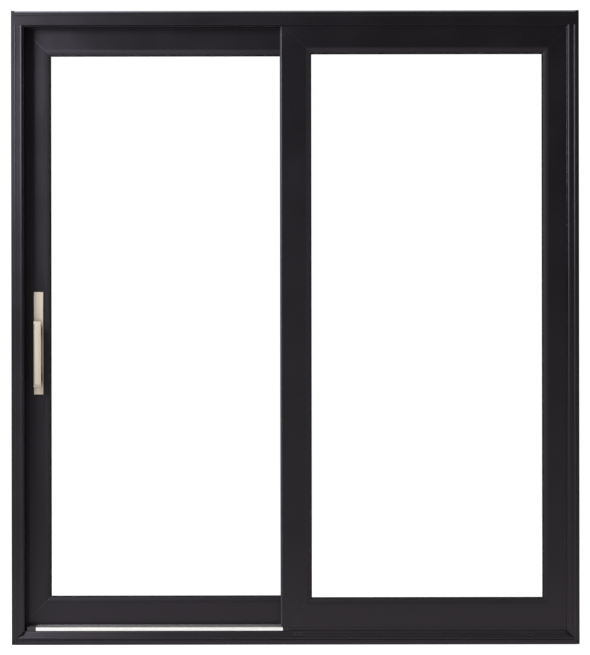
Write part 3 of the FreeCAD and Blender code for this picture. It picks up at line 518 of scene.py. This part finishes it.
def soft_material(name, colour, roughness, grain_scale, depth):
    """Rubber, pile or foam: matt, with an even grain."""
    material, tree, shader, place = new_material(name, IOR=1.45, Specular_IOR_Level=0.3)
    grain = use_group(tree, "surface_grain", vector=place, grain_scale=grain_scale, patch_scale=30.0)
    dark, light = shade(colour, 0.75), shade(colour, 1.25)
    tint = mix_colour(tree, grain["Grain"], dark, light)
    rough = remap(tree, grain["Patches"], 0.0, 1.0, roughness * 0.95, min(roughness * 1.05, 1.0))
    edges = use_group(tree, "soft_edges", radius=0.0004)
    normal = bump(tree, grain["Grain"], distance=depth, strength=0.6, normal=edges["Normal"])
    tree.links.new(tint, shader.inputs["Base Color"])
    tree.links.new(rough, shader.inputs["Roughness"])
    tree.links.new(normal, shader.inputs["Normal"])
    return material


def glass_material(colour):
    """Clear float glass, very slightly wavy."""
    material, tree, shader, place = new_material(
        "clear_float_glass", Base_Color=(*colour, 1.0), IOR=GLASS_IOR, Transmission_Weight=1.0)
    waves = use_group(tree, "surface_grain", vector=place, grain_scale=6.0, patch_scale=2.0)
    flat = tree.nodes.new("ShaderNodeNewGeometry").outputs["Normal"]
    rough = remap(tree, waves["Patches"], 0.0, 1.0, 0.0, GLASS_HAZE)
    normal = bump(tree, waves["Grain"], distance=0.0001, strength=0.15, normal=flat)
    tree.links.new(rough, shader.inputs["Roughness"])
    tree.links.new(normal, shader.inputs["Normal"])
    return material


# Placing and shaping pieces

def panel_box(panel):
    """Lowest and highest corner over a panel's four members."""
    boxes = [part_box(node) for node in panel]
    low = Vector(map(min, *(box[0] for box in boxes)))
    high = Vector(map(max, *(box[1] for box in boxes)))
    return low, high


def opening_box(panel):
    """Lowest and highest corner of the opening between a panel's members."""
    left, right, bottom, top = (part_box(node) for node in panel)
    low = Vector((left[1].x, left[0].y, bottom[1].z))
    high = Vector((right[0].x, left[1].y, top[0].z))
    return low, high


def dress(material, *nodes):
    """Gives carried-over nodes their finish."""
    for node in nodes:
        mesh = NODES[node].data
        mesh.materials.clear()
        mesh.materials.append(material)


def finish_piece(piece, material, body):
    """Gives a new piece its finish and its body."""
    piece.data.materials.clear()
    piece.data.materials.append(material)
    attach(piece, body)


def select_only(piece):
    """Selects one piece and makes it the active one."""
    bpy.ops.object.select_all(action="DESELECT")
    piece.select_set(True)
    bpy.context.view_layer.objects.active = piece


def add_block(name, low, high):
    """Block between two corners, with its place in its mesh."""
    bpy.ops.object.select_all(action="DESELECT")
    middle = [(a + b) / 2 for a, b in zip(low, high)]
    size = [b - a for a, b in zip(low, high)]
    bpy.ops.mesh.primitive_cube_add(size=1.0, location=middle, scale=size)
    piece = bpy.context.active_object
    piece.name = name
    piece.data.name = name
    bpy.ops.object.transform_apply(location=True, rotation=True, scale=True)
    return piece


def edit_faces(piece, chosen):
    """Edit mode, with only the faces selected that chosen(normal) picks."""
    select_only(piece)
    bpy.ops.object.mode_set(mode="EDIT")
    bpy.ops.mesh.select_mode(type="FACE")
    bpy.ops.mesh.select_all(action="DESELECT")
    bpy.ops.object.mode_set(mode="OBJECT")
    for face in piece.data.polygons:
        face.select = chosen(face.normal)
    bpy.ops.object.mode_set(mode="EDIT")


def leave_edit():
    """Back to object mode."""
    bpy.ops.object.mode_set(mode="OBJECT")


def soften(piece, width, segments=2):
    """Rounds every sharp edge of a piece."""
    select_only(piece)
    bevel = piece.modifiers.new("soften", "BEVEL")
    bevel.width = width
    bevel.segments = segments
    bevel.limit_method = "ANGLE"
    bpy.ops.object.modifier_apply(modifier=bevel.name)


def add_ring(name, low, high, width, body, material):
    """Flat ring round an opening, a width wide, through the block between two corners along Y."""
    piece = add_block(name, low, high)
    edit_faces(piece, lambda normal: abs(normal.y) > FACING)
    bpy.ops.mesh.inset(thickness=width)
    bpy.ops.mesh.bridge_edge_loops()
    leave_edit()
    soften(piece, width / 4)
    finish_piece(piece, material, body)


def add_pile_strip(name, low, high, depth, trim, material):
    """Backing against a stop's face with a standing pile, which grows along Y by a depth."""
    piece = add_block(name, low, (high[0], low[1] + trim.backing, high[2]))
    edit_faces(piece, lambda normal: normal.y > FACING)
    bpy.ops.mesh.inset(thickness=trim.pile_width / 5)
    bpy.ops.mesh.extrude_region_move(TRANSFORM_OT_translate={"value": (0, depth - trim.backing, 0)})
    leave_edit()
    soften(piece, trim.backing / 3)
    finish_piece(piece, material, "frame")


def add_groove_shade_strip(name, low, high, lip, material):
    """Dark rubber bar in a groove, standing in for the groove's shade, with a channel along its front
    between two lips.
    """
    piece = add_block(name, low, high)
    edit_faces(piece, lambda normal: normal.y < -FACING)
    bpy.ops.mesh.inset(thickness=lip)
    bpy.ops.mesh.extrude_region_move(TRANSFORM_OT_translate={"value": (0, lip / 2, 0)})
    leave_edit()
    finish_piece(piece, material, "frame")


def model_screw(name, trim):
    """Oval-headed screw with a cross recess, head up at the origin."""
    bpy.ops.object.select_all(action="DESELECT")
    head = trim.screw_height
    bpy.ops.mesh.primitive_cylinder_add(
        vertices=32, radius=trim.screw_radius, depth=head, location=(0, 0, head / 2))
    piece = bpy.context.active_object
    piece.name = name
    bpy.ops.object.transform_apply(location=True, rotation=True, scale=True)
    edit_faces(piece, lambda normal: normal.z > FACING)
    crown = head * 0.6
    bpy.ops.mesh.bevel(offset=crown, segments=4, profile=0.5)
    leave_edit()
    reach = trim.screw_radius * 0.62
    half_width = trim.screw_radius * 0.13
    recess_floor = head * 0.35
    for x, y in ((reach, half_width), (half_width, reach)):
        cutter = add_block("recess", (-x, -y, recess_floor), (x, y, head * 2))
        select_only(piece)
        cut = piece.modifiers.new("recess", "BOOLEAN")
        cut.operation = "DIFFERENCE"
        cut.object = cutter
        cut.solver = "EXACT"
        bpy.ops.object.modifier_apply(modifier=cut.name)
        bpy.data.objects.remove(cutter)
    select_only(piece)
    bpy.ops.object.shade_smooth_by_angle(angle=math.radians(35))
    return piece


def add_screws(plate, x, y, low_z, high_z, turn, trim, body, material):
    """Screws at the low and the high end of a plate, turned alike, each with its own mesh."""
    low = model_screw(f"{plate}_screw_low", trim)
    select_only(low)
    bpy.ops.object.duplicate(linked=False)
    high = bpy.context.active_object
    high.name = f"{plate}_screw_high"
    for piece, z in ((low, low_z), (high, high_z)):
        select_only(piece)
        piece.rotation_euler = turn
        piece.location = (x, y, z)
        bpy.ops.object.transform_apply(location=True, rotation=True, scale=True)
        finish_piece(piece, material, body)


# Operators, one for each group of like pieces

class DOOR_OT_clad_frame(bpy.types.Operator):
    """Finish the jambs, head, liners and stops"""
    bl_idname = "door.clad_frame"
    bl_label = "Clad frame"

    def execute(self, context):
        colours = context.scene.door_colours
        cladding = coated_material("frame_cladding", colours.cladding, *POWDER_COAT)
        flange_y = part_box("head_board")[0].y + FLANGE_SETBACK
        flanged = coated_material("flanged_cladding", colours.cladding, *POWDER_COAT, flange=flange_y)
        boards = coated_material("painted_boards", colours.boards, *BOARD_PAINT, level=0.35)
        dress(flanged, "left_jamb_cladding", "right_jamb_cladding", "head_cladding")
        dress(cladding, "sill_nosing", "sill_ramp", "sill_deck", "fixed_riser")
        dress(boards, "left_jamb_board", "right_jamb_board", "head_board", "head_lip_core", "sill_core")
        dress(boards, "left_jamb_liner", "right_jamb_liner", "head_liner", "head_guide_rib")
        dress(boards, "left_room_stop", "right_room_stop", "head_room_stop", "room_threshold")
        return {"FINISHED"}


class DOOR_OT_panels(bpy.types.Operator):
    """Finish the stiles, rails and beads of both panels"""
    bl_idname = "door.panels"
    bl_label = "Panels"

    def execute(self, context):
        colours = context.scene.door_colours
        for name, members, seam_highlight in (
            ("fixed", FIXED, FIXED_SEAM_HIGHLIGHT), ("sliding", SLIDING, SLIDING_SEAM_HIGHLIGHT),
        ):
            cladding = coated_material(
                f"{name}_cladding", colours.cladding, *POWDER_COAT, panel=members, seam_highlight=seam_highlight)
            dress(cladding, *members)
            beads = coated_material(
                f"{name}_beads", colours.boards, *BEAD_PAINT, level=0.4, panel=members)
            dress(beads, f"{name}_inside_beads")
        return {"FINISHED"}


class DOOR_OT_glazing(bpy.types.Operator):
    """Glass, spacer bars, and a gasket round each side of each glass"""
    bl_idname = "door.glazing"
    bl_label = "Glazing"

    def execute(self, context):
        colours = context.scene.door_colours
        trim = context.scene.door_trim
        dress(glass_material(colours.glass), "fixed_glass", "sliding_glass")
        spacer = metal_material("spacer_bar", shade(colours.steel, 0.35)[:3], *SPACER_METAL)
        dress(spacer, "fixed_glass_spacer", "sliding_glass_spacer")
        rubber = soft_material("gasket_rubber", *GASKET_RUBBER)
        for name, members, body in (("fixed", FIXED, "frame"), ("sliding", SLIDING, "sliding_panel")):
            opening_low, opening_high = opening_box(members)
            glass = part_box(f"{name}_glass")
            for side, face, stand in (
                ("outside", glass[0].y, -trim.gasket_height), ("inside", glass[1].y, trim.gasket_height),
            ):
                low = (opening_low.x, min(face, face + stand), opening_low.z)
                high = (opening_high.x, max(face, face + stand), opening_high.z)
                add_ring(f"{name}_{side}_gasket", low, high, trim.gasket_width, body, rubber)
        return {"FINISHED"}


class DOOR_OT_sill(bpy.types.Operator):
    """Finish the track cover, roller rail, end blocks and weep covers, and the head's flashing"""
    bl_idname = "door.sill"
    bl_label = "Sill"

    def execute(self, context):
        colours = context.scene.door_colours
        bright = metal_material("bright_track_cover", colours.track, *TRACK_METAL, metallic=0.8)
        plastic = coated_material("moulded_plastic", colours.plastic, *MOULDING)
        mill = metal_material(
            "mill_flashing", shade(colours.steel, 0.3)[:3], *FLASHING_METAL, metallic=0.2)
        blocks = coated_material("block_plastic", shade(colours.plastic, 4.0)[:3], *BLOCK_MOULDING)
        dress(bright, "sill_track_cover", "roller_track")
        dress(mill, "head_flashing")
        dress(plastic, "sill_weep_covers")
        dress(blocks, "sill_end_blocks")
        return {"FINISHED"}


class DOOR_OT_groove_shade_strips(bpy.types.Operator):
    """Dark rubber let into the grooves of the head and the sill's nosing, as painted shade in the grooves"""
    bl_idname = "door.groove_seals"
    bl_label = "Groove shade strips"

    def execute(self, context):
        trim = context.scene.door_trim
        rubber = soft_material("groove_shade_rubber", *GROOVE_SHADE_RUBBER)
        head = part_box("head_cladding")
        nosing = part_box("sill_nosing")
        head_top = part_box("head_board")[1].z - trim.head_groove_drop
        nosing_top = nosing[1].z - trim.nosing_groove_drop
        for name, (low, high), top, height, depth in (
            ("head_groove_shade_strip", head, head_top,
             trim.head_groove_height, trim.head_groove_depth),
            ("nosing_groove_shade_strip", nosing, nosing_top,
             trim.nosing_groove_height, trim.nosing_groove_depth),
        ):
            front = low.y + trim.shade_strip_setback
            add_groove_shade_strip(
                name, (low.x, front, top - height), (high.x, low.y + depth, top), height / 4, rubber)
        return {"FINISHED"}


class DOOR_OT_handle(bpy.types.Operator):
    """Satin plates and pulls, with two screws in the room-side plate"""
    bl_idname = "door.handle"
    bl_label = "Handle"

    def execute(self, context):
        colours = context.scene.door_colours
        trim = context.scene.door_trim
        # The plate is darkened beside and under the pull, a painted shade
        nickel = metal_material(
            "satin_plated_handle", colours.nickel, *HANDLE_PLATING, metallic=0.9, crevice_shade=0.1)
        dress(nickel, "outside_handle_plate", "outside_pull", "inside_handle_plate", "inside_pull")
        low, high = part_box("inside_handle_plate")
        x = (low.x + high.x) / 2
        inset = (high.x - low.x) * HANDLE_SCREW_INSET
        add_screws(
            "handle", x, high.y, low.z + inset, high.z - inset, (-math.pi / 2, 0, 0), trim,
            "sliding_panel", nickel)
        return {"FINISHED"}


class DOOR_OT_lock(bpy.types.Operator):
    """Faceplate and keeper, each with two screws"""
    bl_idname = "door.lock"
    bl_label = "Lock plates"

    def execute(self, context):
        colours = context.scene.door_colours
        trim = context.scene.door_trim
        plated = metal_material("satin_lock_plates", colours.nickel, *LOCK_PLATING)
        dress(plated, "lock_faceplate", "lock_keeper")
        plates = (
            ("lock_faceplate", "sliding_panel", 0, -math.pi / 2),
            ("lock_keeper", "frame", 1, math.pi / 2),
        )
        for node, body, side, turn in plates:
            low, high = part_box(node)
            y = (low.y + high.y) / 2
            x = (low, high)[side].x
            inset = (high.y - low.y) * LOCK_SCREW_INSET
            add_screws(node, x, y, low.z + inset, high.z - inset, (0, turn, 0), trim, body, plated)
        return {"FINISHED"}


class DOOR_OT_rollers(bpy.types.Operator):
    """Steel housings and moulded wheels"""
    bl_idname = "door.rollers"
    bl_label = "Rollers"

    def execute(self, context):
        colours = context.scene.door_colours
        zinc = metal_material("zinc_plated_housing", colours.steel, *ZINC_PLATING)
        nylon = coated_material("moulded_wheels", colours.plastic, *WHEEL_MOULDING)
        dress(zinc, "roller_housings")
        dress(nylon, "roller_wheels")
        return {"FINISHED"}


class DOOR_OT_weather_strips(bpy.types.Operator):
    """Grey interlock seal, and pile strips on the stops"""
    bl_idname = "door.weather_strips"
    bl_label = "Weather strips"

    def execute(self, context):
        colours = context.scene.door_colours
        trim = context.scene.door_trim
        dress(soft_material("grey_interlock_seal", colours.seal, *SEAL_RUBBER), "fixed_interlock")
        fibre = soft_material("pile_fibre", *PILE_FIBRE)
        width = trim.pile_width
        clear = PILE_CLEARANCE
        panel_low, panel_high = panel_box(SLIDING)
        jamb_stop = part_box("left_jamb_liner")[1]
        head_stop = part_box("head_liner")
        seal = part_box("fixed_interlock")
        room_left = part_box("left_room_stop")
        room_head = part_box("head_room_stop")
        deck_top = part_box("sill_deck")[1].z
        front = jamb_stop.y, panel_low.y - jamb_stop.y - trim.pile_gap
        room = room_left[0].y, -(room_left[0].y - panel_high.y - trim.pile_gap)
        head_z = head_stop[0].z + clear / 2
        room_head_z = room_head[0].z + clear
        room_x = (panel_low.x + room_left[1].x) / 2
        strips = (
            ("left_jamb_pile", jamb_stop.x - clear - width, jamb_stop.x - clear,
             deck_top + width, head_stop[0].z - clear, *front),
            ("head_pile", jamb_stop.x + clear, seal[0].x - clear,
             head_z, head_z + width * HEAD_PILE_SHARE, *front),
            ("interlock_pile", seal[1].x + width, seal[1].x + 2 * width,
             panel_low.z, panel_high.z, *front),
            ("left_room_pile", room_x - width / 2, room_x + width / 2,
             panel_low.z, panel_high.z, *room),
            ("head_room_pile", room_x + width, seal[0].x,
             room_head_z, room_head_z + width, *room),
        )
        for name, low_x, high_x, low_z, high_z, face, depth in strips:
            add_pile_strip(name, (low_x, face, low_z), (high_x, face, high_z), depth, trim, fibre)
        return {"FINISHED"}


class DOOR_OT_stage(bpy.types.Operator):
    """White floor and surround, soft boxes, and the camera at the photograph's angle"""
    bl_idname = "door.stage"
    bl_label = "Stage"

    def execute(self, context):
        studio = context.scene.door_studio
        context.scene.view_settings.view_transform = "Standard"
        add_floor(studio)
        light_world(studio)
        middle = Vector((0.0, 0.0, (FRAME_LOW.z + FRAME_HIGH.z) / 2))
        top_left = Vector((FRAME_LOW.x, 0.0, FRAME_HIGH.z * KEY_AIM))
        add_soft_box("key_soft_box", KEY_PLACE, top_left, KEY_SIZE, studio.key_power, KEY_COLOUR)
        add_soft_box("room_soft_box", ROOM_PLACE, middle, ROOM_SIZE, studio.fill_power, WHITE)
        add_camera(studio)
        return {"FINISHED"}


def seen_rays(tree, path):
    """One for rays from the camera, also those that went through glass."""
    return add_math(tree, "MAXIMUM", path["Is Camera Ray"], path["Is Transmission Ray"])


def add_floor(studio):
    """Pale floor that keeps the door's shadow, and is fainter far ahead of it in glossy surfaces."""
    bpy.ops.object.select_all(action="DESELECT")
    bpy.ops.mesh.primitive_plane_add(size=FLOOR_SIZE, location=(0, 0, 0))
    floor = bpy.context.active_object
    floor.name = "floor"
    material = bpy.data.materials.new("pale_floor")
    material.use_nodes = True
    tree = material.node_tree
    tree.nodes.clear()
    matt = add_node(tree, "ShaderNodeBsdfDiffuse", {"Color": FLOOR_GREY})
    path = tree.nodes.new("ShaderNodeLightPath").outputs
    place = tree.nodes.new("ShaderNodeTexCoord").outputs["Object"]
    ahead = add_node(tree, "ShaderNodeSeparateXYZ", {"Vector": place}).outputs["Y"]
    mirrored = remap(tree, ahead, *FLOOR_FADE, studio.far_floor, 1.0)
    glossy = add_math(tree, "MULTIPLY", path["Is Glossy Ray"], mirrored)
    shown = add_math(tree, "MAXIMUM", seen_rays(tree, path), glossy)
    white = add_math(tree, "MULTIPLY", shown, studio.floor_glow)
    glow = add_node(tree, "ShaderNodeEmission", {"Strength": white})
    both = add_node(tree, "ShaderNodeAddShader", {0: matt.outputs[0], 1: glow.outputs[0]})
    add_node(tree, "ShaderNodeOutputMaterial", {"Surface": both.outputs[0]})
    floor.data.materials.append(material)


def light_world(studio):
    """White surround, uneven in glossy surfaces, dimmest behind the camera, with a plain ambient light."""
    world = bpy.data.worlds.new("white_studio")
    bpy.context.scene.world = world
    world.use_nodes = True
    tree = world.node_tree
    tree.nodes.clear()
    path = tree.nodes.new("ShaderNodeLightPath").outputs
    direction = tree.nodes.new("ShaderNodeTexCoord").outputs["Generated"]
    way = add_node(tree, "ShaderNodeSeparateXYZ", {"Vector": direction}).outputs
    mirrored = remap(tree, way["Y"], *BEHIND_CAMERA_FADE, studio.behind_camera, studio.surround)
    for axis, fade, most in (
        ("X", RIGHT_SIDE_FADE, studio.right_side), ("Z", OVERHEAD_FADE, studio.overhead),
    ):
        mirrored = add_math(tree, "MULTIPLY", mirrored, remap(tree, way[axis], *fade, 1.0, most))
    clear_view = add_math(tree, "MULTIPLY", seen_rays(tree, path), studio.backdrop)
    glossy = add_math(tree, "MULTIPLY", path["Is Glossy Ray"], mirrored)
    matt = add_math(tree, "MULTIPLY", path["Is Diffuse Ray"], studio.ambient)
    total = add_math(tree, "MAXIMUM", clear_view, add_math(tree, "MAXIMUM", glossy, matt))
    background = add_node(tree, "ShaderNodeBackground", {"Color": (*WHITE, 1.0), "Strength": total})
    add_node(tree, "ShaderNodeOutputWorld", {"Surface": background.outputs[0]})


def add_soft_box(name, place, target, size, power, colour):
    """Square area light that faces a target."""
    light = bpy.data.lights.new(name, "AREA")
    light.shape = "SQUARE"
    light.size = size
    light.energy = power
    light.color = colour
    lamp = bpy.data.objects.new(name, light)
    bpy.context.scene.collection.objects.link(lamp)
    lamp.location = place
    lamp.rotation_euler = (Vector(target) - Vector(place)).to_track_quat("-Z", "Y").to_euler()
    lamp.visible_camera = False
    lamp.visible_transmission = False


def add_camera(studio):
    """Level camera in front of the door, at the photograph's distance and framing."""
    scale = (FRAME_HIGH.x - FRAME_LOW.x) / DOOR_PIXELS
    data = bpy.data.cameras.new("photo_camera")
    data.lens = data.sensor_width * studio.distance / (PHOTO_HEIGHT * scale)
    data.clip_end = 200.0
    camera = bpy.data.objects.new("photo_camera", data)
    bpy.context.scene.collection.objects.link(camera)
    x = (PHOTO_WIDTH / 2 - DOOR_MIDDLE) * scale
    z = (SILL_LINE - PHOTO_HEIGHT / 2) * scale
    camera.location = (x, FRONT_Y - studio.distance, z)
    camera.rotation_euler = (math.pi / 2, studio.roll, 0.0)
    bpy.context.scene.camera = camera


class VIEW3D_PT_patio_door(bpy.types.Panel):
    """Buttons for the operators, and all the settings"""
    bl_label = "Patio door"
    bl_space_type = "VIEW_3D"
    bl_region_type = "UI"
    bl_category = "Patio door"

    def draw(self, context):
        for operator in OPERATORS:
            self.layout.operator(operator.bl_idname)
        for group in (context.scene.door_colours, context.scene.door_trim, context.scene.door_studio):
            box = self.layout.box()
            for name in group.__annotations__:
                box.prop(group, name)


GROUPS = (DoorColours, DoorTrim, DoorStudio)
OPERATORS = (
    DOOR_OT_clad_frame,
    DOOR_OT_panels,
    DOOR_OT_glazing,
    DOOR_OT_sill,
    DOOR_OT_groove_shade_strips,
    DOOR_OT_handle,
    DOOR_OT_lock,
    DOOR_OT_rollers,
    DOOR_OT_weather_strips,
    DOOR_OT_stage,
)
CLASSES = (*GROUPS, *OPERATORS, VIEW3D_PT_patio_door)


def register():
    for kind in CLASSES:
        bpy.utils.register_class(kind)
    bpy.types.Scene.door_colours = PointerProperty(type=DoorColours)
    bpy.types.Scene.door_trim = PointerProperty(type=DoorTrim)
    bpy.types.Scene.door_studio = PointerProperty(type=DoorStudio)


def unregister():
    del bpy.types.Scene.door_studio
    del bpy.types.Scene.door_trim
    del bpy.types.Scene.door_colours
    for kind in reversed(CLASSES):
        bpy.utils.unregister_class(kind)


def main():
    """Makes every group of pieces, and checks that each node has a finish."""
    register()
    for operator in OPERATORS:
        group, name = operator.bl_idname.split(".")
        getattr(getattr(bpy.ops, group), name)()
    bare = [name for name, node in NODES.items() if not node.data.materials]
    if bare:
        raise RuntimeError(f"nodes with no finish: {bare}")


if __name__ == "__main__":
    main()
